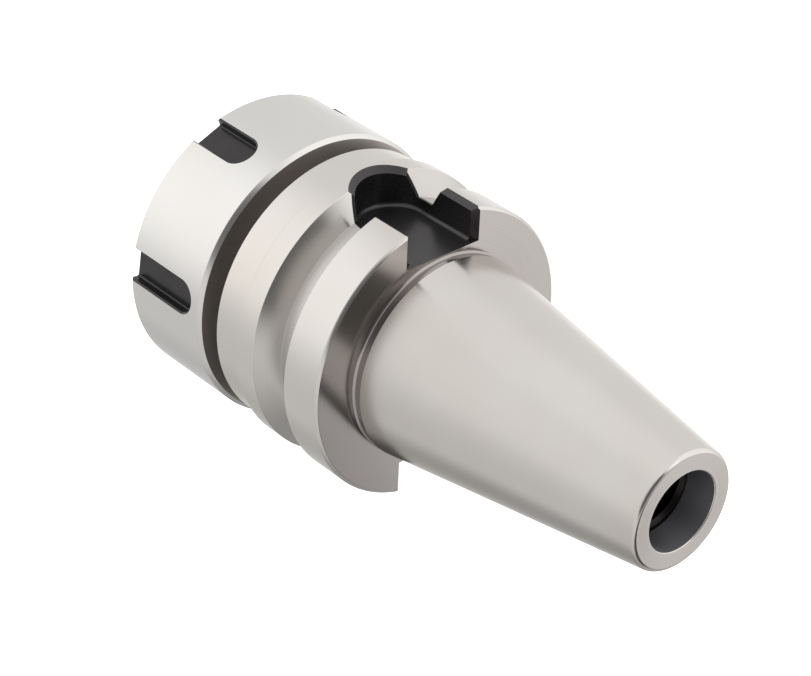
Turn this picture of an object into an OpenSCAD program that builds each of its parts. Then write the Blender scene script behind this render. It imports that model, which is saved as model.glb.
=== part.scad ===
// Collet chuck holder: a 7/24 taper shank with a flange, a slotted clamping nut and its spring collet.
// It stands on the front face of the nut. +Z points up the shank and the origin is the middle of that face.
// The keyways lie on the X axis.

/* [Taper shank] */
// Diameter of the taper at the gauge line
gauge_d = 44.45; // [44:0.05:45]
// Length of the taper from the gauge line to the small end
shank_len = 65.4; // [60:0.2:75]
// Rim chamfer at the small end
shank_rim = 0.9; // [0.4:0.1:1.5]
// Depth of the relief behind the taper
neck_relief = 0.4; // [0.2:0.1:0.8]

/* [Drawbar bore] */
// Diameter of the pilot bore at the small end
pilot_d = 17; // [16.5:0.1:18.5]
// Depth of the pilot bore
pilot_depth = 7; // [5:0.5:10]
// Core diameter of the drawbar thread
drawbar_core_d = 14; // [13:0.1:15]
// Depth of the drawbar thread from the small end
drawbar_depth = 43; // [38:1:46]
// Diameter of the coolant passage
coolant_d = 10; // [6:0.5:12]
// Diameter of the bore for a stop screw
stop_bore_d = 26; // [20:0.5:28]
// Length of the bore for a stop screw
stop_bore_len = 24; // [15:1:28]
// Chamfer at the mouth of the pilot bore
mouth_chamfer = 0.5; // [0.2:0.1:0.8]

/* [Flange] */
// Outer diameter of the flange
flange_d = 63; // [62:0.5:66]
// Distance from the gauge line to the rear face of the flange
flange_gap = 2; // [1.5:0.1:3]
// Length of the flange
flange_len = 25; // [24:0.5:28]
// Distance from the gauge line to the middle of the gripper groove
vee_centre = 16.6; // [16:0.1:17.2]
// Width of the gripper groove at its mouth
vee_w = 10; // [9:0.1:11]
// Diameter at the bottom of the gripper groove
vee_bottom_d = 53; // [52:0.2:56]
// Slope of each side of the gripper groove against its middle plane
vee_slope = 30; // [28:1:32]
// Chamfer on the edges of the flange
flange_chamfer = 0.6; // [0.3:0.1:1]

/* [Keyways] */
// Width between the walls of a keyway
key_w = 16.1; // [14:0.1:18]
// Height of the keyway floor over the axis
key_floor = 22.6; // [22.4:0.1:24]
// Distance from the gauge line to the middle of the keyway's round end
key_end = 16.3; // [15:0.1:17]
// Chamfer around the keyway
key_chamfer = 1.3; // [0.6:0.1:1.6]
// Fillet between the keyway's walls and floor
key_fillet = 1; // [0.4:0.1:1.6]

/* [Collar and nose] */
// Diameter of the collar in front of the flange
collar_d = 60.8; // [58:0.2:61]
// Length of the collar
collar_len = 7.6; // [5:0.2:10]
// Chamfer on the collar's front edge
collar_chamfer = 0.3; // [0.2:0.1:1]
// Gap between the collar and the nut when the nut is tight
nut_gap = 4.2; // [3:0.2:7]
// Pitch diameter of the nose thread
thread_d = 49; // [48:0.1:50]
// Pitch of the nose thread
thread_pitch = 1.5; // [1:0.25:2]
// Radial clearance between the nut and the nose
thread_clearance = 0.05; // [0.02:0.01:0.08]

/* [Clamping nut] */
// How far the nut's outside lies inside the flange's
nut_inset = 0; // [-0.5:0.1:1.5]
// Length of the nut
nut_len = 23; // [22:0.5:26]
// Chamfer on the nut's front edge
nut_front_chamfer = 0.7; // [0.4:0.1:1.2]
// Chamfer on the nut's rear edge
nut_rear_chamfer = 0.8; // [0.4:0.1:1.2]
// Diameter of the opening in the nut's front face
nut_hole_d = 35.2; // [34.6:0.1:36.4]
// Chamfer at the ends of the nut's bore
nut_bore_chamfer = 0.5; // [0.2:0.1:0.8]

/* [Wrench slots] */
// Number of wrench slots
slot_n = 6; // [4:1:8]
// Angle of the first wrench slot from the keyway
slot_angle = 22.9; // [0:0.1:59]
// Width between the walls of a wrench slot
slot_w = 6.9; // [5:0.1:8]
// Depth of a wrench slot
slot_depth = 2.3; // [1.5:0.1:3]
// Mean length of the wrench slots
slot_len = 15.1; // [14:0.1:16]
// Swing of the slot lengths around the nut, which balances the extraction lip
slot_swing = 5.5; // [0:0.1:6]
// Chamfer around a wrench slot
slot_chamfer = 0.35; // [0.1:0.05:0.6]
// Fillet between a slot's walls and floor
slot_fillet = 1.1; // [0.4:0.1:1.4]

/* [Extraction lip] */
// Offset of the extraction lip's bore from the axis
lip_offset = 0.85; // [0.5:0.05:0.95]
// Thickness of the extraction lip
lip_t = 1.8; // [1.2:0.1:2.2]
// Play of the extraction lip behind the collet's front ring
lip_play = 0.5; // [0.3:0.1:0.8]
// Clearance of the lip past the collet's front ring, on its open side
lip_clearance = 0.2; // [0.1:0.05:0.3]
// Clearance around the collet's front ring in front of the lip
ring_clearance = 0.5; // [0.4:0.05:0.6]

/* [Collet] */
// Overall length of the collet
collet_len = 46; // [42:0.5:47]
// Largest diameter of the collet's long taper
collet_d = 41; // [40.6:0.1:41.2]
// Slope of the long taper against the axis
collet_slope = 8; // [7.6:0.1:8.2]
// Slope of the front cone against the axis
front_slope = 30; // [29:1:31]
// Diameter of the collet's front face
front_d = 33.9; // [33.6:0.1:34.2]
// Diameter of the collet's front ring
ring_d = 39.8; // [39.6:0.1:39.9]
// Width of the front ring's land
ring_land = 0.6; // [0.4:0.1:1]
// Diameter of the extraction groove
groove_d = 36.2; // [35.8:0.1:36.4]
// Width of the extraction groove
groove_w = 4.1; // [3.8:0.1:4.6]
// Width of the land behind the extraction groove
shoulder_land = 0.7; // [0.5:0.1:1.2]
// Depth of the collet's front face inside the nut
collet_recess = 1; // [0.4:0.1:1.6]
// Clearance between the collet and what it seats in
seat_clearance = 0.05; // [0.02:0.01:0.08]

/* [Tool bore and slits] */
// Diameter of the tool bore
tool_d = 20; // [10:0.5:22]
// Length of the tool bore
tool_grip = 34; // [26:1:38]
// Diameter of the relief behind the tool bore
tool_relief_d = 23; // [22.5:0.5:25]
// Chamfer at the mouth of the tool bore
tool_chamfer = 0.5; // [0.2:0.1:0.8]
// Number of slits cut from each end
slit_n = 8; // [4:1:8]
// Width of a slit
slit_w = 1.1; // [0.6:0.1:1.4]
// Length left uncut at the end of each slit
slit_web = 6; // [4:0.5:8]

/* [Hidden] */
$fn = 96;

// How far a cut runs past the surface that it opens
over = 1;
// Gap between the nose and the nut's inner shoulder
nose_play = 1.6;
// Room around the collet's shoulder inside the nut
shoulder_room = 0.8;
// Length of the nose in front of the collet's shoulder
nose_setback = 1;
// Room behind the collet
tail_room = 1.5;

// Stations of the outside along Z, from the nut's front face up
collar_z = nut_len + nut_gap;
flange_z = collar_z + collar_len;
flange_top = flange_z + flange_len;
gauge_z = flange_top + flange_gap;
shank_top = gauge_z + shank_len;
vee_z = gauge_z - vee_centre;
key_z = gauge_z - key_end;

// Radii of the shank and flange; the taper is 7 in 24 on diameter
taper_rate = 7 / 48;
gauge_r = gauge_d / 2;
rim_r = gauge_r - (shank_len - shank_rim) * taper_rate;
neck_r = gauge_r - neck_relief;
flange_r = flange_d / 2;
vee_bottom_r = vee_bottom_d / 2;
vee_bottom_w = vee_w / 2 - (flange_r - vee_bottom_r) * tan(vee_slope);
collar_r = collar_d / 2;
nut_r = flange_r - nut_inset;

// Thread reliefs follow the pitch
thread_r = thread_d / 2;
thread_relief_r = thread_r - thread_pitch / 2;
nose_chamfer = thread_pitch / 2;
nut_bore_r = thread_r + thread_clearance;
nut_relief_r = nut_bore_r + thread_pitch / 3;

// Stations and radii of the collet, from its front face up
cone_len = (ring_d - front_d) / 2 / tan(front_slope);
ring_z = collet_recess + cone_len;
groove_z = ring_z + ring_land;
shoulder_z = groove_z + groove_w;
taper_z = shoulder_z + shoulder_land;
tail_z = collet_recess + collet_len;
front_r = front_d / 2;
ring_r = ring_d / 2;
collet_r = collet_d / 2;

// Stations of the nose, the nut's inner steps and the bores behind the collet
nose_z = taper_z + nose_setback;
nut_shoulder_z = nose_z - nose_play;
lip_z = groove_z + lip_play;
lip_top = lip_z + lip_t;
lip_bore_r = ring_r + lip_clearance - lip_offset;
lip_bore_z = lip_z - over;
seat_end_r = ring_r + ring_clearance;
shoulder_bore_r = collet_r + shoulder_room;
chamber_z = tail_z + tail_room;
stop_z = chamber_z + stop_bore_len;
drawbar_z = shank_top - drawbar_depth;

// Radius of the collet's long taper at the height z
function taper_r(z) = collet_r - (z - taper_z) * tan(collet_slope);
// Height at which the nut's cone has the radius r
function cone_z(r) = collet_recess + (r - seat_clearance - front_r) / tan(front_slope);
// Length of the wrench slot k
function slot_length(k) = slot_len + slot_swing * sin(360 * k / slot_n);
// Direction in which the extraction lip reaches furthest in
lip_angle = slot_angle + 90;

// Section of a milled slot with a rounded floor, along its straight run
module slot_section(w, floor_r, top_r, fillet) {
    translate([floor_r, fillet - w / 2]) square([top_r - floor_r, w - 2 * fillet]);
    translate([floor_r + fillet, -w / 2]) square([top_r - floor_r - fillet, w]);
    for (side = [-1, 1]) translate([floor_r + fillet, side * (w / 2 - fillet)]) circle(fillet);
}

// Half section of the slot's round end, about the middle of its arc
module slot_end_section(w, floor_r, top_r, fillet) {
    translate([0, floor_r]) square([w / 2 - fillet, top_r - floor_r]);
    translate([0, floor_r + fillet]) square([w / 2, top_r - floor_r - fillet]);
    translate([w / 2 - fillet, floor_r + fillet]) circle(fillet);
}

// Cutter of a milled slot on the +X side of a round part of radius r.
// It is round at the height 0 and runs up Z past the length len.
module slot_cutter(w, floor_r, r, fillet, len) {
    linear_extrude(len + over) slot_section(w, floor_r, r + over, fillet);
    rotate([0, 90, 0]) rotate_extrude() slot_end_section(w, floor_r, r + over, fillet);
}

// Cutter of the chamfer around such a slot.
// With a lean, the cone of its round end follows the round part, and meets the straight run at a mitre.
module slot_chamfer_cutter(w, r, chamfer, len, lean = 0) {
    edge_y = w / 2 + chamfer;
    edge_r = sqrt(r * r - edge_y * edge_y);
    flare = chamfer + r - edge_r + over;
    translate([edge_r - chamfer, 0, 0]) {
        difference() {
            linear_extrude(len + over) polygon([
                [-chamfer * cos(lean), chamfer - w / 2],
                [-chamfer * cos(lean), w / 2 - chamfer],
                [flare * cos(lean), w / 2 + flare],
                [flare * cos(lean), -w / 2 - flare]
            ]);
            if (lean > 0) rotate([0, -lean, 0]) translate([-r, -r, -r]) cube([2 * r, 2 * r, r]);
        }
        difference() {
            rotate([0, 90 - lean, 0]) translate([0, 0, -chamfer])
                cylinder(h = chamfer + flare, r1 = w / 2 - chamfer, r2 = w / 2 + flare);
            if (lean > 0) rotate([0, -lean, 0]) translate([-r, -r, 0]) cube([2 * r, 2 * r, r]);
        }
    }
}

// Keyway cutter, with the chamfers of its edge and of its open end
module keyway_cutter() {
    key_len = flange_top - key_z;
    edge_y = key_w / 2 + key_chamfer;
    lean = atan((flange_r - sqrt(flange_r * flange_r - edge_y * edge_y)) / edge_y);
    translate([0, 0, key_z]) {
        slot_cutter(key_w, key_floor, flange_r, key_fillet, key_len);
        slot_chamfer_cutter(key_w, flange_r, key_chamfer, key_len, lean);
    }
    translate([key_floor, 0, flange_top]) rotate([90, 0, 90]) linear_extrude(flange_r) polygon([
        [-key_w / 2, -key_chamfer], [key_w / 2, -key_chamfer],
        [edge_y + over, over], [-edge_y - over, over]
    ]);
}

// Turned outside of the shank, flange, collar and nose
module holder_outside() {
    rotate_extrude() polygon([
        [0, nose_z],
        [thread_r - nose_chamfer, nose_z],
        [thread_r, nose_z + nose_chamfer],
        [thread_r, nut_len + over],
        [thread_relief_r, nut_len + over + thread_r - thread_relief_r],
        [thread_relief_r, collar_z],
        [collar_r - collar_chamfer, collar_z],
        [collar_r, collar_z + collar_chamfer],
        [collar_r, flange_z],
        [flange_r - flange_chamfer, flange_z],
        [flange_r, flange_z + flange_chamfer],
        [flange_r, vee_z - vee_w / 2],
        [vee_bottom_r, vee_z - vee_bottom_w],
        [vee_bottom_r, vee_z + vee_bottom_w],
        [flange_r, vee_z + vee_w / 2],
        [flange_r, flange_top - flange_chamfer],
        [flange_r - flange_chamfer, flange_top],
        [neck_r, flange_top],
        [neck_r, gauge_z],
        [gauge_r, gauge_z],
        [rim_r, shank_top - shank_rim],
        [rim_r - shank_rim, shank_top],
        [0, shank_top]
    ]);
}

// Bores of the holder: collet seat, stop screw, coolant, drawbar thread and pilot
module holder_bores() {
    seat_mouth_z = nose_z - over;
    rotate_extrude() polygon([
        [0, seat_mouth_z],
        [taper_r(seat_mouth_z) + seat_clearance, seat_mouth_z],
        [taper_r(chamber_z) + seat_clearance, chamber_z],
        [stop_bore_d / 2, chamber_z],
        [stop_bore_d / 2, stop_z],
        [coolant_d / 2, stop_z],
        [coolant_d / 2, drawbar_z],
        [drawbar_core_d / 2, drawbar_z],
        [drawbar_core_d / 2, shank_top - pilot_depth],
        [pilot_d / 2, shank_top - pilot_depth],
        [pilot_d / 2, shank_top - mouth_chamfer],
        [pilot_d / 2 + mouth_chamfer + over, shank_top + over],
        [0, shank_top + over]
    ]);
}

module holder_body() {
    color("#c9c6c2") difference() {
        holder_outside();
        holder_bores();
        for (turn = [0, 180]) rotate(turn) keyway_cutter();
    }
}

// Bore of the nut in front of the lip: front opening, cone seat and the room behind it
module nut_seat() {
    hole_r = nut_hole_d / 2;
    rotate_extrude() polygon([
        [0, -over],
        [hole_r + nut_bore_chamfer + over, -over],
        [hole_r, nut_bore_chamfer],
        [hole_r, cone_z(hole_r)],
        [seat_end_r, cone_z(seat_end_r)],
        [seat_end_r, lip_z],
        [0, lip_z]
    ]);
}

// Bore of the nut behind the lip: room for the collet's shoulder, then the thread
module nut_thread_bore() {
    relief_top = nose_z + nose_chamfer;
    rotate_extrude() polygon([
        [0, lip_top],
        [shoulder_bore_r, lip_top],
        [shoulder_bore_r, nut_shoulder_z],
        [nut_relief_r, nut_shoulder_z],
        [nut_relief_r, relief_top],
        [nut_bore_r, relief_top],
        [nut_bore_r, nut_len - nut_bore_chamfer],
        [nut_bore_r + nut_bore_chamfer + over, nut_len + over],
        [0, nut_len + over]
    ]);
}

module clamping_nut() {
    color("#dedbd5") difference() {
        rotate_extrude() polygon([
            [0, 0],
            [nut_r - nut_front_chamfer, 0],
            [nut_r, nut_front_chamfer],
            [nut_r, nut_len - nut_rear_chamfer],
            [nut_r - nut_rear_chamfer, nut_len],
            [0, nut_len]
        ]);
        nut_seat();
        nut_thread_bore();
        // the lip's bore is off centre, so that the lip catches the collet's groove on one side
        rotate(lip_angle) translate([-lip_offset, 0, lip_bore_z])
            cylinder(h = lip_top + over - lip_bore_z, r = lip_bore_r);
        for (k = [0 : slot_n - 1]) rotate(slot_angle + 360 * k / slot_n)
            translate([0, 0, slot_length(k) - slot_w / 2]) mirror([0, 0, 1]) {
                slot_cutter(slot_w, nut_r - slot_depth, nut_r, slot_fillet, slot_length(k));
                slot_chamfer_cutter(slot_w, nut_r, slot_chamfer, slot_length(k));
            }
    }
}

// Slits that start at one end of the collet, each from the axis outward
module slits(start_z, end_z, first_angle) {
    for (k = [0 : slit_n - 1]) rotate(first_angle + 360 * k / slit_n)
        translate([0, -slit_w / 2, start_z]) cube([collet_r + over, slit_w, end_z - start_z]);
}

module collet() {
    tool_r = tool_d / 2;
    relief_z = collet_recess + tool_grip;
    color("#b9b8b6") difference() {
        rotate_extrude() polygon([
            [tool_r + tool_chamfer, collet_recess],
            [front_r, collet_recess],
            [ring_r, ring_z],
            [ring_r, groove_z],
            [groove_d / 2, groove_z],
            [groove_d / 2, shoulder_z],
            [collet_r, shoulder_z],
            [collet_r, taper_z],
            [taper_r(tail_z), tail_z],
            [tool_relief_d / 2, tail_z],
            [tool_relief_d / 2, relief_z],
            [tool_r, relief_z],
            [tool_r, collet_recess + tool_chamfer]
        ]);
        slits(collet_recess - over, tail_z - slit_web, 0);
        slits(collet_recess + slit_web, tail_z + over, 180 / slit_n);
    }
}

holder_body();
clamping_nut();
collet();
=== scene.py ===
from math import cos, pi, radians, sin, sqrt, tan

import bpy
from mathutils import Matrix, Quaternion, Vector


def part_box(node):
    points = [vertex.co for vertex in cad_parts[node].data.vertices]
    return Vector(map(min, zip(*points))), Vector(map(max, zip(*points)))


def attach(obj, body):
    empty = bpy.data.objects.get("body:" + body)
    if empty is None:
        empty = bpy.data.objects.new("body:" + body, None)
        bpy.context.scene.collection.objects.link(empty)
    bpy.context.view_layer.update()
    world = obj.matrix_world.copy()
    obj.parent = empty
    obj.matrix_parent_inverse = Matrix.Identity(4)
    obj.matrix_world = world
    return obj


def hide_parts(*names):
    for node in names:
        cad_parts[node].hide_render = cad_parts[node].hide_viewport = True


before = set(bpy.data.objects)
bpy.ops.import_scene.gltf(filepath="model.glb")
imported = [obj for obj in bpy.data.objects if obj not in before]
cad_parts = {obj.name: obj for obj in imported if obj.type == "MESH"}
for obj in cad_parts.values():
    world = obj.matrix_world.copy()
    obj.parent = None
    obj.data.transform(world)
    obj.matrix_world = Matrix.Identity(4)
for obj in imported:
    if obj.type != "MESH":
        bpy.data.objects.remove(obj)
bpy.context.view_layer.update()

# Collet chuck holder, standing on its nut. Heights run up the Z axis from the nut's front face, and the
# keyways lie on the X axis. Sizes are in millimetres, and MM turns them into the scene's metres.
MM = 0.001
HOLDER_LOW, HOLDER_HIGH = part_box("holder_body")
NUT_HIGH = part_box("clamping_nut")[1]
COLLET_LOW, COLLET_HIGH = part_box("collet")

# Turned surfaces: the flats around them, the steps of a rounded edge, the width of a broken edge, and the
# angles between two faces from which their edge is broken and from which it is shown sharp
SIDES = 360
ROUNDING_STEPS = 8
EDGE_BREAK = 0.08
BREAK_ANGLE = 14
SHARP_ANGLE = 24

# Picking: how near a vertex and the centre of a face have to be to a station, and the share of a face's
# normal that has to lie along the axis
TOUCH = 0.01
NEAR = 0.05
AXIAL = 0.9

# Taper shank
SHANK_TOP = HOLDER_HIGH.z / MM
SHANK_LEN = 65.4
GAUGE_Z = SHANK_TOP - SHANK_LEN
GAUGE_R = 22.225
TAPER_RATE = 7 / 48
RIM_R = GAUGE_R - SHANK_LEN * TAPER_RATE
RIM_ROUNDING = 0.9
GAUGE_BREAK = 0.2
NECK_R = 21.825
NECK_CORNER = 0.4

# Bores of the shank: pilot, drawbar thread, coolant passage, stop screw and the chamber behind the collet
PILOT_R = 8.5
PILOT_DEPTH = 7.0
PILOT_Z = SHANK_TOP - PILOT_DEPTH
MOUTH_ROUNDING = 0.25
DRAWBAR_DEPTH = 43.0
DRAWBAR_Z = SHANK_TOP - DRAWBAR_DEPTH
DRAWBAR_WALL_R = 8.0
DRAWBAR_CREST_R = 7.0
DRAWBAR_PITCH = 2.0
DRAWBAR_RUNOUT = 2.0
COOLANT_R = 5.0
STOP_R = 13.0
STOP_Z = 72.5
CHAMBER_Z = 48.5

# Flange, as wide as the nut, with its gripper groove and keyways
FLANGE_R = NUT_HIGH.y / MM
FLANGE_GAP = 2.0
FLANGE_LEN = 25.0
FLANGE_TOP = GAUGE_Z - FLANGE_GAP
FLANGE_Z = FLANGE_TOP - FLANGE_LEN
FLANGE_CHAMFER = 0.6
VEE_CENTRE = 16.6
VEE_Z = GAUGE_Z - VEE_CENTRE
VEE_HALF = 5.0
VEE_R = 26.5
VEE_SLOPE = tan(radians(30))
VEE_BOTTOM_HALF = VEE_HALF - (FLANGE_R - VEE_R) * VEE_SLOPE
KEY_W = 16.1
KEY_FLOOR = 22.6
KEY_END = 16.3
KEY_Z = GAUGE_Z - KEY_END
KEY_CHAMFER = 1.3
KEY_FILLET = 1.0
KEY_OXIDE_EDGE = 0.7

# Clamping nut with its wrench slots and extraction lip
NUT_LEN = NUT_HIGH.z / MM
NUT_R = NUT_HIGH.y / MM
NUT_FRONT_CHAMFER = 0.7
NUT_REAR_CHAMFER = 0.8
NUT_HOLE_R = 17.6
NUT_BORE_CHAMFER = 0.5
NUT_THREAD_WALL_R = 25.0
SLOT_COUNT = 6
SLOT_ANGLE = 22.9
SLOT_W = 6.9
SLOT_DEPTH = 2.3
SLOT_LEN = 15.1
SLOT_SWING = 5.5
SLOT_CHAMFER = 0.35
SLOT_FILLET = 0.35
LIP_ANGLE = SLOT_ANGLE + 90
LIP_OFFSET = 0.85
LIP_R = 19.25
LIP_Z = 7.21
LIP_TOP = 9.01
LIP_STOCK = 1.0
NUT_SHOULDER_Z = 10.91
NUT_THREAD_Z = 13.26
SHOULDER_BORE_R = 21.3
SEAT_END_R = 20.4

# Collar and threaded nose, whose thread ends clear of the nut
COLLAR_R = 30.4
COLLAR_LEN = 7.6
COLLAR_Z = FLANGE_Z - COLLAR_LEN
COLLAR_CHAMFER = 0.3
NOSE_Z = HOLDER_LOW.z / MM
NOSE_RELIEF_R = 23.75
NOSE_CHAMFER = 0.3
THREAD_R = 24.5
THREAD_HALF = 0.45
THREAD_ROOT_R = THREAD_R - THREAD_HALF
THREAD_PITCH = 1.5
THREAD_END = NUT_LEN + 1.0
THREAD_CLEARANCE = 0.1
SEAT_SLOPE = tan(radians(8))

# Spring collet and its saw slits
COLLET_Z = COLLET_LOW.z / MM
TAIL_Z = COLLET_HIGH.z / MM
COLLET_FRONT_R = 16.95
COLLET_RING_R = 19.9
COLLET_R = 20.5
GROOVE_R = 18.1
CONE_SLOPE = tan(radians(30))
RING_LAND = 0.6
GROOVE_W = 4.1
SHOULDER_LAND = 0.7
RING_Z = COLLET_Z + (COLLET_RING_R - COLLET_FRONT_R) / CONE_SLOPE
GROOVE_Z = RING_Z + RING_LAND
SHOULDER_Z = GROOVE_Z + GROOVE_W
TAPER_Z = SHOULDER_Z + SHOULDER_LAND
TAIL_R = COLLET_R - (TAIL_Z - TAPER_Z) * SEAT_SLOPE
TOOL_R = 10.0
TOOL_RELIEF_R = 11.5
TOOL_GRIP = 34.0
RELIEF_Z = COLLET_Z + TOOL_GRIP
TOOL_CHAMFER = 0.5
SEAT_CLEARANCE = 0.05
SLIT_COUNT = 8
SLIT_W = 1.1
SLIT_WEB = 6.0
SAW_START_R = 3.0
SAW_OVERRUN = 1.0

# End mill's sweep: the steps of its round end, the share of half its width that the end's two bevels take,
# and the gap across which the vertices that they leave side by side are merged
TIP_STEPS = 24
TIP_SHARE = 0.9999
TIP_MERGE = 0.002

# Ridge of a thread: the slope of its flanks, half its crest as a share of half the pitch, how deep its root
# is sunk into the wall, the steps of one turn and the gap that is merged between turns, and how far the
# blank that trims it stays off the crest and reaches past the wall
FLANK_SLOPE = tan(radians(30))
CREST_SHARE = 0.154
ROOT_SUNK = 0.15
TURN_STEPS = 120
TURN_MERGE = 0.0001
CREST_TRIM = 0.01
BLANK_REACH = 0.5

# Finishes: the spacing of grinding lines, the size of the clouds in steel and in oxide and of oxide's grain,
# and how far each one's roughness swings either way
LINE_SPACING = 0.25
STEEL_CLOUDS = 22.0
STEEL_SWING = 0.03
OXIDE_CLOUDS = 6.0
OXIDE_GRAIN = 0.2
OXIDE_SWING = 0.05

# The floor lies clear below the nut's front face, which sinks by 9 mm as the nut is unscrewed
FLOOR_Z = -9.5
FLOOR_SIDE = 6000

# Light tent: its even light, the least light that a dim place keeps, and its panels by azimuth and elevation
# of their middle, the half widths in degrees within which a panel is full and beyond which it is gone, and
# the light that it adds
TENT_LIGHT = 0.84
TENT_SHADE = 0.12
TENT_PANELS = {
    "white_background": (-120, -36, 6, 25, 0.2),
    "upper_background": (-118, 37, 8, 25, 0.45),
    "low_reflector": (50, -62, 10, 45, 0.42),
    "dim_side": (-172, -8, 12, 46, -0.32),
    "dim_half": (150, -8, 5, 70, -0.2),
    "dim_corner": (-161, 44, 14, 24, -0.85),
    "open_top": (50, 78, 8, 36, -0.7),
    "camera_opening": (49, 58, 18, 34, -0.65),
    "top_window": (-30, 57, 5, 16, 0.5),
    "bright_window": (-60, 25, 15, 50, 0.3),
    "soft_window": (-5, 5, 10, 50, 0.12),
}

# Camera: the place that it aims at, its direction from there, its roll, its distance, its lens and sensor
CAMERA_AIM = Vector((-0.745, 0.713, 50.767))
CAMERA_AZIMUTH = 46.262
CAMERA_ELEVATION = 38.529
CAMERA_ROLL = 123.124
CAMERA_DISTANCE = 546.035
CAMERA_LENS = 121.03
CAMERA_SENSOR = 36


def linear(code):
    """Turns an sRGB hex colour into the linear colour that a shader socket takes."""
    channels = [int(code[i:i + 2], 16) / 255 for i in (1, 3, 5)]
    return [c / 12.92 if c <= 0.04045 else ((c + 0.055) / 1.055) ** 2.4 for c in channels] + [1]


def direction(azimuth, elevation):
    """The unit vector towards an azimuth and an elevation in degrees."""
    level = cos(radians(elevation))
    return Vector((level * cos(radians(azimuth)), level * sin(radians(azimuth)), sin(radians(elevation))))


def add(tree, kind, inputs=None, **settings):
    """Adds a node with its settings, and gives its inputs values or links."""
    made = tree.nodes.new(kind)
    for name, value in settings.items():
        setattr(made, name, value)
    for name, value in (inputs or {}).items():
        if isinstance(value, bpy.types.NodeSocket):
            tree.links.new(value, made.inputs[name])
        else:
            made.inputs[name].default_value = value
    return made


def noise(tree, place, size, detail, roughness=0.5, **settings):
    """A noise pattern with features of a size in millimetres."""
    return add(tree, "ShaderNodeTexNoise", {
        "Vector": place, "Scale": 1 / (size * MM), "Detail": detail, "Roughness": roughness,
    }, **settings).outputs[0]


def blend(tree, share, first, second):
    """Goes from a first colour to a second one."""
    return add(tree, "ShaderNodeMix", {0: share, 6: first, 7: second}, data_type="RGBA").outputs[2]


def uneven_gloss(tree, pattern, roughness, swing):
    """A roughness that a pattern swings either way."""
    return add(tree, "ShaderNodeMapRange", {
        "Value": pattern, "From Min": 0.3, "From Max": 0.7,
        "To Min": roughness - swing, "To Max": roughness + swing,
    }).outputs[0]


def new_finish(name):
    """A material with an empty tree."""
    finish = bpy.data.materials.new(name)
    finish.use_nodes = True
    finish.node_tree.nodes.clear()
    return finish, finish.node_tree


def reach(tree, x, y):
    """The length of a vector with two parts."""
    flat = add(tree, "ShaderNodeCombineXYZ", {"X": x, "Y": y})
    return add(tree, "ShaderNodeVectorMath", {0: flat.outputs[0]}, operation="LENGTH").outputs["Value"]


def ground_steel(name, light, shade, roughness, oxide_edge=None):
    """Case-hardened steel ground between centres: bright and satin. Grinding lines run round the axis, so a
    reflection is drawn out along the axis and stays crisp around it. The real lines are 0.02 mm apart, and
    are drawn wider apart so that they show. An oxide edge is the dark line that the keyways' oxide leaves
    where they break into the surface."""
    finish, tree = new_finish(name)
    place = add(tree, "ShaderNodeTexCoord").outputs["Object"]
    parts = add(tree, "ShaderNodeSeparateXYZ", {"Vector": place}).outputs
    around = add(tree, "ShaderNodeCombineXYZ", {"X": reach(tree, parts["X"], parts["Y"]), "Y": parts["Z"]})
    lines = noise(tree, around.outputs[0], LINE_SPACING, 3, 0.6, noise_dimensions="2D")
    colour = blend(tree, noise(tree, place, STEEL_CLOUDS, 2), linear(light), linear(shade))
    if oxide_edge:
        height = add(tree, "ShaderNodeMath", {0: parts["Z"], 1: KEY_Z * MM}, operation="SUBTRACT")
        below = add(tree, "ShaderNodeMath", {0: height.outputs[0], 1: 0.0}, operation="MINIMUM")
        near = add(tree, "ShaderNodeMath", {
            0: reach(tree, parts["Y"], below.outputs[0]), 1: (KEY_W / 2 + KEY_OXIDE_EDGE) * MM,
        }, operation="LESS_THAN")
        colour = blend(tree, near.outputs[0], colour, linear(oxide_edge))
    relief = add(tree, "ShaderNodeBump", {"Height": lines, "Strength": 0.06, "Distance": 0.02 * MM})
    tangent = add(tree, "ShaderNodeTangent", direction_type="RADIAL", axis="Z")
    shader = add(tree, "ShaderNodeBsdfPrincipled", {
        "Base Color": colour, "Metallic": 1.0,
        "Roughness": uneven_gloss(tree, lines, roughness, STEEL_SWING),
        "Anisotropic": 0.8, "Anisotropic Rotation": 0.25,
        "Normal": relief.outputs[0], "Tangent": tangent.outputs[0],
    })
    add(tree, "ShaderNodeOutputMaterial", {"Surface": shader.outputs[0]})
    return finish


def black_oxide(name, dark, pale, roughness):
    """Blackened steel: hot black oxide over a milled surface. It is nearly black, with the soft gloss of
    oiled metal, and its cloudy oxide is a little paler where it is thin."""
    finish, tree = new_finish(name)
    place = add(tree, "ShaderNodeTexCoord").outputs["Object"]
    grain = noise(tree, place, OXIDE_GRAIN, 2)
    relief = add(tree, "ShaderNodeBump", {"Height": grain, "Strength": 0.1, "Distance": 0.01 * MM})
    shader = add(tree, "ShaderNodeBsdfPrincipled", {
        "Base Color": blend(tree, noise(tree, place, OXIDE_CLOUDS, 4, 0.6), linear(dark), linear(pale)),
        "Metallic": 0.85, "Roughness": uneven_gloss(tree, grain, roughness, OXIDE_SWING),
        "Normal": relief.outputs[0],
    })
    add(tree, "ShaderNodeOutputMaterial", {"Surface": shader.outputs[0]})
    return finish


def deselect():
    """Leaves edit mode with nothing selected."""
    if bpy.context.object and bpy.context.object.mode != "OBJECT":
        bpy.ops.object.mode_set(mode="OBJECT")
    bpy.ops.object.select_all(action="DESELECT")


def only(piece):
    """Makes a piece the one that is selected and active."""
    deselect()
    piece.select_set(True)
    bpy.context.view_layer.objects.active = piece


def settle(piece):
    """Puts a piece's place, turn and size into its mesh."""
    only(piece)
    bpy.ops.object.transform_apply(location=True, rotation=True, scale=True)


def join(piece, *others):
    """Joins other meshes to a piece."""
    only(piece)
    for other in others:
        other.select_set(True)
    bpy.ops.object.join()


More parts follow.
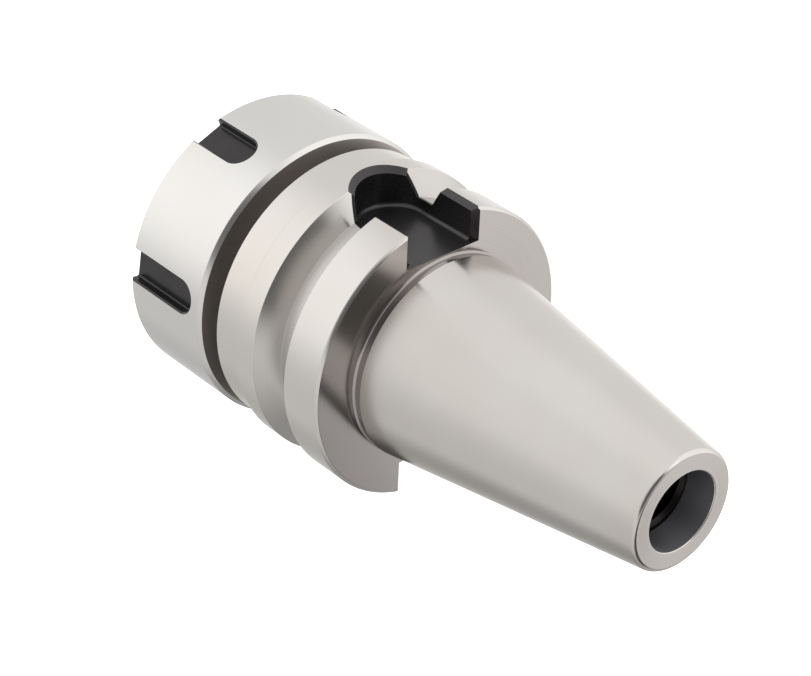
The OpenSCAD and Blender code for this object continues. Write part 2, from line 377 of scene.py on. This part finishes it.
def apply_modifier(piece, kind, **settings):
    """Gives a piece a modifier and applies it."""
    only(piece)
    modifier = piece.modifiers.new(kind.title(), kind)
    for name, value in settings.items():
        setattr(modifier, name, value)
    bpy.ops.object.modifier_apply(modifier=modifier.name)


def cut(piece, cutter):
    """Cuts a piece with a cutter, whose finish comes off on the cut faces."""
    apply_modifier(piece, "BOOLEAN", operation="DIFFERENCE", object=cutter, solver="EXACT",
                   material_mode="TRANSFER")
    bpy.data.objects.remove(cutter)


def turned(name, outline, finish):
    """Turns a closed outline of (radius, height) round the Z axis, one ring drawn out to the next."""
    deselect()
    radius, height = outline[0]
    bpy.ops.mesh.primitive_circle_add(vertices=SIDES, radius=radius * MM, location=(0, 0, height * MM))
    piece = bpy.context.object
    piece.name = name
    settle(piece)
    bpy.ops.object.mode_set(mode="EDIT")
    bpy.ops.mesh.select_all(action="SELECT")
    for next_radius, next_height in outline[1:]:
        rise = (next_height - height) * MM
        bpy.ops.mesh.extrude_region_move(TRANSFORM_OT_translate={"value": (0, 0, rise)})
        grow = next_radius / radius
        bpy.ops.transform.resize(value=(grow, grow, 1), center_override=(0, 0, 0))
        radius, height = next_radius, next_height
    bpy.ops.mesh.select_mode(type="EDGE")
    bpy.ops.mesh.select_all(action="DESELECT")
    bpy.ops.mesh.select_non_manifold(extend=False)
    bpy.ops.mesh.bridge_edge_loops()
    bpy.ops.mesh.select_all(action="SELECT")
    bpy.ops.mesh.normals_make_consistent(inside=False)
    bpy.ops.object.mode_set(mode="OBJECT")
    piece.data.materials.append(finish)
    return piece


def block(name, size, centre, finish):
    """A block of a size about a centre."""
    deselect()
    bpy.ops.mesh.primitive_cube_add(size=1)
    piece = bpy.context.object
    piece.name = name
    piece.scale = Vector(size) * MM
    piece.location = Vector(centre) * MM
    settle(piece)
    piece.data.materials.append(finish)
    return piece


def select_verts(piece, chosen):
    """In edit mode, selects the vertices whose place in mm is chosen, and nothing else."""
    bpy.ops.mesh.select_mode(type="VERT")
    bpy.ops.mesh.select_all(action="DESELECT")
    bpy.ops.object.mode_set(mode="OBJECT")
    for vertex in piece.data.vertices:
        vertex.select = chosen(vertex.co / MM)
    bpy.ops.object.mode_set(mode="EDIT")


def break_edges(piece):
    """Takes the sharpness off every turned edge, as a file or a stone does."""
    apply_modifier(piece, "BEVEL", width=EDGE_BREAK * MM, segments=2, limit_method="ANGLE",
                   angle_limit=radians(BREAK_ANGLE))


def round_ring(piece, radius, height, size):
    """Rounds the turned edge at a radius and height."""
    only(piece)
    bpy.ops.object.mode_set(mode="EDIT")
    select_verts(piece, lambda co: abs(co.xy.length - radius) < TOUCH and abs(co.z - height) < TOUCH)
    bpy.ops.mesh.bevel(offset=size * MM, segments=ROUNDING_STEPS, affect="EDGES")
    bpy.ops.object.mode_set(mode="OBJECT")


def refinish(piece, finish, chosen):
    """Gives a finish to the faces whose centre (radius, height in mm) and outward slope are chosen."""
    if finish.name not in piece.data.materials:
        piece.data.materials.append(finish)
    index = piece.data.materials.find(finish.name)
    for face in piece.data.polygons:
        centre = face.center / MM
        if chosen(centre.xy.length, centre.z, face.normal):
            face.material_index = index


def slot_cutter(name, finish, width, floor_r, outer_r, end_z, open_z, fillet, chamfer):
    """An end mill's sweep into a round part on its +X side, from the height open_z to a round end at end_z.
    Its floor is filleted, and its sides flare where they meet the round, to leave an even chamfer there."""
    toward = 1 if end_z > open_z else -1
    wall_x = outer_r - chamfer
    far_z = open_z - toward * width
    tip_z = end_z + toward * width / 2
    size = (wall_x - floor_r, width, abs(tip_z - far_z))
    piece = block(name, size, ((wall_x + floor_r) / 2, 0, (tip_z + far_z) / 2), finish)
    bpy.ops.object.mode_set(mode="EDIT")
    bpy.ops.mesh.select_mode(type="EDGE")
    bpy.ops.mesh.select_all(action="DESELECT")
    bpy.ops.object.mode_set(mode="OBJECT")
    for edge in piece.data.edges:
        ends = [piece.data.vertices[i].co / MM for i in edge.vertices]
        edge.select = all(abs(co.z - tip_z) < TOUCH for co in ends) and abs(ends[0].y - ends[1].y) < TOUCH
    bpy.ops.object.mode_set(mode="EDIT")
    tip = width / 2 * MM * TIP_SHARE
    bpy.ops.mesh.bevel(offset=tip, segments=TIP_STEPS, affect="EDGES", clamp_overlap=False)
    bpy.ops.mesh.select_all(action="SELECT")
    bpy.ops.mesh.remove_doubles(threshold=TIP_MERGE * MM)
    select_verts(piece, lambda co: abs(co.x - floor_r) < TOUCH)
    bpy.ops.mesh.bevel(offset=fillet * MM, segments=ROUNDING_STEPS, affect="EDGES", clamp_overlap=False)
    grow = (width / 2 + chamfer) / (width / 2)
    select_verts(piece, lambda co: abs(co.x - wall_x) < TOUCH)
    for _ in range(2):
        bpy.ops.mesh.extrude_region_move(TRANSFORM_OT_translate={"value": (chamfer * MM, 0, 0)})
        bpy.ops.transform.resize(value=(1, grow, grow), center_override=(0, 0, end_z * MM))
    bpy.ops.mesh.select_all(action="SELECT")
    bpy.ops.mesh.normals_make_consistent(inside=False)
    bpy.ops.object.mode_set(mode="OBJECT")
    for vertex in piece.data.vertices:
        x, y = vertex.co.x / MM, vertex.co.y / MM
        if wall_x - TOUCH < x < outer_r + TOUCH:
            vertex.co.x -= (outer_r - sqrt(outer_r ** 2 - y ** 2)) * MM
    return piece


def set_round(cutter, places):
    """Copies a cutter to each place, an angle about the Z axis and a lift along it, as one cutter."""
    copies = []
    for angle, lift in places:
        only(cutter)
        bpy.ops.object.duplicate(linked=False)
        copy = bpy.context.object
        copy.location.z = lift * MM
        copy.rotation_euler.z = radians(angle)
        settle(copy)
        copies.append(copy)
    bpy.data.objects.remove(cutter)
    join(*copies)
    return copies[0]


def keyway_end_cutter(finish):
    """The wedge that chamfers a keyway's open end on the flange's rear face."""
    piece = block("keyway_end_cutter", (FLANGE_R, KEY_W, 2 * KEY_CHAMFER),
                  (KEY_FLOOR + FLANGE_R / 2, 0, FLANGE_TOP), finish)
    bpy.ops.object.mode_set(mode="EDIT")
    select_verts(piece, lambda co: co.z > FLANGE_TOP)
    bpy.ops.transform.resize(value=(1, (KEY_W + 4 * KEY_CHAMFER) / KEY_W, 1), center_override=(0, 0, 0))
    bpy.ops.object.mode_set(mode="OBJECT")
    return piece


def thread_ridge(name, finish, wall_r, crest_r, pitch, low, high):
    """The helical ridge of a thread, trimmed to its length with a chamfer at each end."""
    side = 1 if crest_r > wall_r else -1
    depth = abs(crest_r - wall_r)
    root_r = wall_r - side * ROOT_SUNK
    crest_half = pitch / 2 * CREST_SHARE
    root_half = crest_half + depth * FLANK_SLOPE
    deselect()
    bpy.ops.mesh.primitive_plane_add(size=1)
    ridge = bpy.context.object
    ridge.name = name
    corners = [(root_r, -root_half), (crest_r, -crest_half), (root_r, root_half), (crest_r, crest_half)]
    for vertex, (radius, height) in zip(ridge.data.vertices, corners):
        vertex.co = Vector((radius, 0, height + low - pitch)) * MM
    bpy.ops.object.mode_set(mode="EDIT")
    bpy.ops.mesh.select_all(action="SELECT")
    bpy.ops.mesh.delete(type="ONLY_FACE")
    bpy.ops.object.mode_set(mode="OBJECT")
    apply_modifier(
        ridge, "SCREW", angle=2 * pi, screw_offset=pitch * MM, iterations=int((high - low) / pitch) + 2,
        steps=TURN_STEPS, render_steps=TURN_STEPS, use_merge_vertices=True, merge_threshold=TURN_MERGE * MM,
    )
    bpy.ops.object.mode_set(mode="EDIT")
    bpy.ops.mesh.select_mode(type="EDGE")
    bpy.ops.mesh.select_all(action="DESELECT")
    bpy.ops.mesh.select_non_manifold(extend=False)
    bpy.ops.mesh.fill()
    bpy.ops.mesh.select_all(action="SELECT")
    bpy.ops.mesh.normals_make_consistent(inside=False)
    bpy.ops.object.mode_set(mode="OBJECT")
    ridge.data.materials.append(finish)
    blank = turned(name + "_blank", [
        (wall_r - side * BLANK_REACH, low),
        (wall_r, low),
        (crest_r - side * CREST_TRIM, low + depth),
        (crest_r - side * CREST_TRIM, high - depth),
        (wall_r, high),
        (wall_r - side * BLANK_REACH, high),
    ], finish)
    apply_modifier(ridge, "BOOLEAN", operation="INTERSECT", object=blank, solver="EXACT")
    bpy.data.objects.remove(blank)
    return ridge


def show_as(piece, node, body):
    """Smooths a finished piece between its sharp edges, and lets it stand for its CAD node."""
    only(piece)
    bpy.ops.object.shade_smooth_by_angle(angle=radians(SHARP_ANGLE))
    apply_modifier(piece, "WEIGHTED_NORMAL", keep_sharp=True)
    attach(piece, body)
    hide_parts(node)


def seat_r(height):
    """Radius of the collet's seat in the nose."""
    return COLLET_R - (height - TAPER_Z) * SEAT_SLOPE + SEAT_CLEARANCE


def cone_z(radius):
    """Height of the nut's seat, on which the collet's front cone sits, at a radius."""
    return COLLET_Z + (radius - SEAT_CLEARANCE - COLLET_FRONT_R) / CONE_SLOPE


def make_holder(steel, face, groove, oxide, recess, bore, bore_oxide_and_painted_shade):
    """The body, from the threaded nose up to the small end of the shank."""
    holder = turned("holder_turned", [
        (seat_r(NOSE_Z), NOSE_Z),
        (NOSE_RELIEF_R, NOSE_Z),
        (THREAD_ROOT_R, NOSE_Z + NOSE_CHAMFER),
        (THREAD_ROOT_R, THREAD_END),
        (NOSE_RELIEF_R, THREAD_END + NOSE_CHAMFER),
        (NOSE_RELIEF_R, COLLAR_Z),
        (COLLAR_R - COLLAR_CHAMFER, COLLAR_Z),
        (COLLAR_R, COLLAR_Z + COLLAR_CHAMFER),
        (COLLAR_R, FLANGE_Z),
        (FLANGE_R - FLANGE_CHAMFER, FLANGE_Z),
        (FLANGE_R, FLANGE_Z + FLANGE_CHAMFER),
        (FLANGE_R, VEE_Z - VEE_HALF),
        (VEE_R, VEE_Z - VEE_BOTTOM_HALF),
        (VEE_R, VEE_Z + VEE_BOTTOM_HALF),
        (FLANGE_R, VEE_Z + VEE_HALF),
        (FLANGE_R, FLANGE_TOP - FLANGE_CHAMFER),
        (FLANGE_R - FLANGE_CHAMFER, FLANGE_TOP),
        (NECK_R + NECK_CORNER, FLANGE_TOP),
        (NECK_R, FLANGE_TOP + NECK_CORNER),
        (NECK_R, GAUGE_Z),
        (GAUGE_R - GAUGE_BREAK, GAUGE_Z),
        (GAUGE_R - GAUGE_BREAK * TAPER_RATE, GAUGE_Z + GAUGE_BREAK),
        (RIM_R, SHANK_TOP),
        (PILOT_R, SHANK_TOP),
        (PILOT_R, PILOT_Z),
        (DRAWBAR_WALL_R, PILOT_Z),
        (DRAWBAR_WALL_R, DRAWBAR_Z),
        (COOLANT_R, DRAWBAR_Z),
        (COOLANT_R, STOP_Z),
        (STOP_R, STOP_Z),
        (STOP_R, CHAMBER_Z),
        (seat_r(CHAMBER_Z), CHAMBER_Z),
    ], steel)
    round_ring(holder, RIM_R, SHANK_TOP, RIM_ROUNDING)
    round_ring(holder, PILOT_R, SHANK_TOP, MOUTH_ROUNDING)
    break_edges(holder)
    refinish(holder, face, lambda radius, z, slope: slope.z > AXIAL and z > FLANGE_TOP - NEAR)
    refinish(holder, face, lambda radius, z, slope: (
        FLANGE_TOP < z < GAUGE_Z and radius < NECK_R + NECK_CORNER))
    refinish(holder, groove, lambda radius, z, slope: (
        VEE_R - 2 * NEAR < radius < FLANGE_R - 2 * NEAR and abs(z - VEE_Z) < VEE_HALF))
    # Painted shade: the pilot's shoulder and the drawbar bore, deep in the shank, get the darkest oxide
    refinish(holder, bore_oxide_and_painted_shade, lambda radius, z, slope: radius < PILOT_R and STOP_Z < z < PILOT_Z + NEAR)
    refinish(holder, bore, lambda radius, z, slope: (
        radius < PILOT_R + NEAR and PILOT_Z + NEAR < z < SHANK_TOP - MOUTH_ROUNDING))
    refinish(holder, recess, lambda radius, z, slope: (
        THREAD_END < z < COLLAR_Z + NEAR and radius < COLLAR_R - COLLAR_CHAMFER - NEAR))
    keyway = slot_cutter("keyway_cutter", oxide, KEY_W, KEY_FLOOR, FLANGE_R, KEY_Z, FLANGE_TOP,
                         KEY_FILLET, KEY_CHAMFER)
    for cutter in (keyway, keyway_end_cutter(oxide)):
        cut(holder, set_round(cutter, [(0, 0), (180, 0)]))
    nose_thread = thread_ridge("nose_thread", recess, THREAD_ROOT_R, THREAD_R + THREAD_HALF,
                               THREAD_PITCH, NOSE_Z, THREAD_END)
    drawbar_thread = thread_ridge("drawbar_thread", bore_oxide_and_painted_shade, DRAWBAR_WALL_R, DRAWBAR_CREST_R,
                                  DRAWBAR_PITCH, DRAWBAR_Z + DRAWBAR_RUNOUT, PILOT_Z)
    join(holder, nose_thread, drawbar_thread)
    show_as(holder, "holder_body", "holder")


def make_nut(steel, oxide, recess):
    """The nut. Its lip is turned with stock left on and then bored off centre, so that it reaches furthest
    in between the two longest slots, which balance it."""
    lip_blank_r = LIP_R - LIP_OFFSET - LIP_STOCK
    nut = turned("nut_turned", [
        (NUT_HOLE_R + NUT_BORE_CHAMFER, 0),
        (NUT_R - NUT_FRONT_CHAMFER, 0),
        (NUT_R, NUT_FRONT_CHAMFER),
        (NUT_R, NUT_LEN - NUT_REAR_CHAMFER),
        (NUT_R - NUT_REAR_CHAMFER, NUT_LEN),
        (NUT_THREAD_WALL_R + NUT_BORE_CHAMFER, NUT_LEN),
        (NUT_THREAD_WALL_R, NUT_LEN - NUT_BORE_CHAMFER),
        (NUT_THREAD_WALL_R, NUT_SHOULDER_Z),
        (SHOULDER_BORE_R, NUT_SHOULDER_Z),
        (SHOULDER_BORE_R, LIP_TOP),
        (lip_blank_r, LIP_TOP),
        (lip_blank_r, LIP_Z),
        (SEAT_END_R, LIP_Z),
        (SEAT_END_R, cone_z(SEAT_END_R)),
        (NUT_HOLE_R, cone_z(NUT_HOLE_R)),
        (NUT_HOLE_R, NUT_BORE_CHAMFER),
    ], steel)
    break_edges(nut)
    deselect()
    lip_depth = 2 * (LIP_TOP - LIP_Z)
    bpy.ops.mesh.primitive_cylinder_add(vertices=SIDES, radius=LIP_R * MM, depth=lip_depth * MM)
    lip_cutter = bpy.context.object
    lip_middle = Vector((0, 0, (LIP_TOP + LIP_Z) / 2))
    lip_cutter.location = (lip_middle - direction(LIP_ANGLE, 0) * LIP_OFFSET) * MM
    lip_cutter.data.materials.append(steel)
    settle(lip_cutter)
    cut(nut, lip_cutter)
    slot = slot_cutter("wrench_slot_cutter", oxide, SLOT_W, NUT_R - SLOT_DEPTH, NUT_R,
                       SLOT_LEN - SLOT_W / 2, 0, SLOT_FILLET, SLOT_CHAMFER)
    turns = [360 * k / SLOT_COUNT for k in range(SLOT_COUNT)]
    places = [(SLOT_ANGLE + turn, SLOT_SWING * sin(radians(turn))) for turn in turns]
    cut(nut, set_round(slot, places))
    refinish(nut, recess, lambda radius, z, slope: slope.z > AXIAL and z > NUT_LEN - NEAR)
    thread = thread_ridge("nut_thread", recess, NUT_THREAD_WALL_R, THREAD_ROOT_R + THREAD_CLEARANCE,
                          THREAD_PITCH, NUT_THREAD_Z, NUT_LEN - NUT_BORE_CHAMFER)
    join(nut, thread)
    show_as(nut, "clamping_nut", "nut")


def make_collet(steel):
    """The collet, sawn from both ends in turn so that it closes evenly on a tool."""
    collet = turned("collet_slit", [
        (TOOL_R + TOOL_CHAMFER, COLLET_Z),
        (COLLET_FRONT_R, COLLET_Z),
        (COLLET_RING_R, RING_Z),
        (COLLET_RING_R, GROOVE_Z),
        (GROOVE_R, GROOVE_Z),
        (GROOVE_R, SHOULDER_Z),
        (COLLET_R, SHOULDER_Z),
        (COLLET_R, TAPER_Z),
        (TAIL_R, TAIL_Z),
        (TOOL_RELIEF_R, TAIL_Z),
        (TOOL_RELIEF_R, RELIEF_Z),
        (TOOL_R, RELIEF_Z),
        (TOOL_R, COLLET_Z + TOOL_CHAMFER),
    ], steel)
    break_edges(collet)
    low, high = COLLET_Z - SAW_OVERRUN, TAIL_Z - SLIT_WEB
    middle = (COLLET_R / 2 + SAW_START_R, 0, (low + high) / 2)
    saw = block("saw", (COLLET_R, SLIT_W, high - low), middle, steel)
    places = [(180 * k / SLIT_COUNT, k % 2 * (SLIT_WEB + SAW_OVERRUN)) for k in range(2 * SLIT_COUNT)]
    cut(collet, set_round(saw, places))
    show_as(collet, "collet", "collet")


def make_floor():
    """A plain sheet of white paper, which gives light from below and isn't mirrored in the metal."""
    deselect()
    bpy.ops.mesh.primitive_plane_add(size=FLOOR_SIDE * MM, location=(0, 0, FLOOR_Z * MM))
    floor = bpy.context.object
    floor.name = "floor"
    finish, tree = new_finish("matt_white_paper")
    shader = add(tree, "ShaderNodeBsdfPrincipled", {
        "Base Color": linear("#f4f4f4"), "Roughness": 0.9, "Specular IOR Level": 0.1,
        "Emission Color": linear("#ffffff"), "Emission Strength": 0.9,
    })
    add(tree, "ShaderNodeOutputMaterial", {"Surface": shader.outputs[0]})
    floor.data.materials.append(finish)
    floor.visible_glossy = False


def make_tent():
    """A white light tent around the holder, with panels that are brighter or dimmer than its even light."""
    world = bpy.data.worlds.new("light_tent")
    bpy.context.scene.world = world
    world.use_nodes = True
    tree = world.node_tree
    tree.nodes.clear()
    place = add(tree, "ShaderNodeTexCoord").outputs["Generated"]
    light = TENT_LIGHT
    for azimuth, elevation, inner, outer, gain in TENT_PANELS.values():
        facing = add(tree, "ShaderNodeVectorMath", {0: place, 1: direction(azimuth, elevation)},
                     operation="DOT_PRODUCT")
        glow = add(tree, "ShaderNodeMapRange", {
            "Value": facing.outputs["Value"],
            "From Min": cos(radians(outer)), "From Max": cos(radians(inner)), "To Min": 0.0, "To Max": gain,
        }, interpolation_type="SMOOTHSTEP")
        light = add(tree, "ShaderNodeMath", {0: light, 1: glow.outputs[0]}).outputs[0]
    light = add(tree, "ShaderNodeMath", {0: light, 1: TENT_SHADE}, operation="MAXIMUM").outputs[0]
    backdrop = add(tree, "ShaderNodeBackground", {"Color": linear("#ffffff"), "Strength": light})
    add(tree, "ShaderNodeOutputWorld", {"Surface": backdrop.outputs[0]})


def make_camera():
    """A long lens that looks down on the shank's small end, rolled until the shank points to the lower
    right."""
    back = direction(CAMERA_AZIMUTH, CAMERA_ELEVATION)
    bpy.ops.object.camera_add(location=(CAMERA_AIM + back * CAMERA_DISTANCE) * MM)
    camera = bpy.context.object
    camera.rotation_mode = "QUATERNION"
    camera.rotation_quaternion = back.to_track_quat("Z", "Y") @ Quaternion((0, 0, 1), radians(CAMERA_ROLL))
    camera.data.lens = CAMERA_LENS
    camera.data.sensor_width = CAMERA_SENSOR
    bpy.context.scene.camera = camera


# The ground and fine turned outsides are bright, and the turned faces, the groove and the recess behind the
# nut are each a shade darker; the groove also has the oxide line along the keyways. The pilot bore is reamed
# and dull.
holder_steel = ground_steel("ground_steel", "#e2dfdc", "#d7d0c7", 0.2)
nut_steel = ground_steel("fine_turned_steel", "#e6e4e1", "#dfdcd8", 0.2)
collet_steel = ground_steel("ground_spring_steel", "#d2d1ce", "#cac8c3", 0.22)
face_steel = ground_steel("turned_face", "#b2adaa", "#aaa4a0", 0.14)
groove_steel = ground_steel("turned_groove", "#d3d0cc", "#cac6c0", 0.22, "#2a2a2b")
recess_steel = ground_steel("turned_recess", "#bab5b1", "#aea9a4", 0.36)
bore_steel = ground_steel("reamed_bore", "#97979d", "#8c8c91", 0.5)
# Oxide is palest in the keyways, deeper in the wrench slots and darkest down the drawbar thread, real oxide
# darkened further as painted shade deep in the bore
milled_oxide = black_oxide("black_oxide", "#413f40", "#535152", 0.28)
slot_oxide = black_oxide("deep_black_oxide", "#3a3839", "#4a4849", 0.24)
# Real oxide, darkened as painted shade for the deep bore
bore_oxide_and_painted_shade = black_oxide("oxide_darkened_as_painted_shade", "#242120", "#2d2a28", 0.32)
make_camera()
make_holder(holder_steel, face_steel, groove_steel, milled_oxide, recess_steel, bore_steel, bore_oxide_and_painted_shade)
make_nut(nut_steel, slot_oxide, recess_steel)
make_collet(collet_steel)
make_floor()
make_tent()
bpy.context.scene.view_settings.view_transform = "Standard"
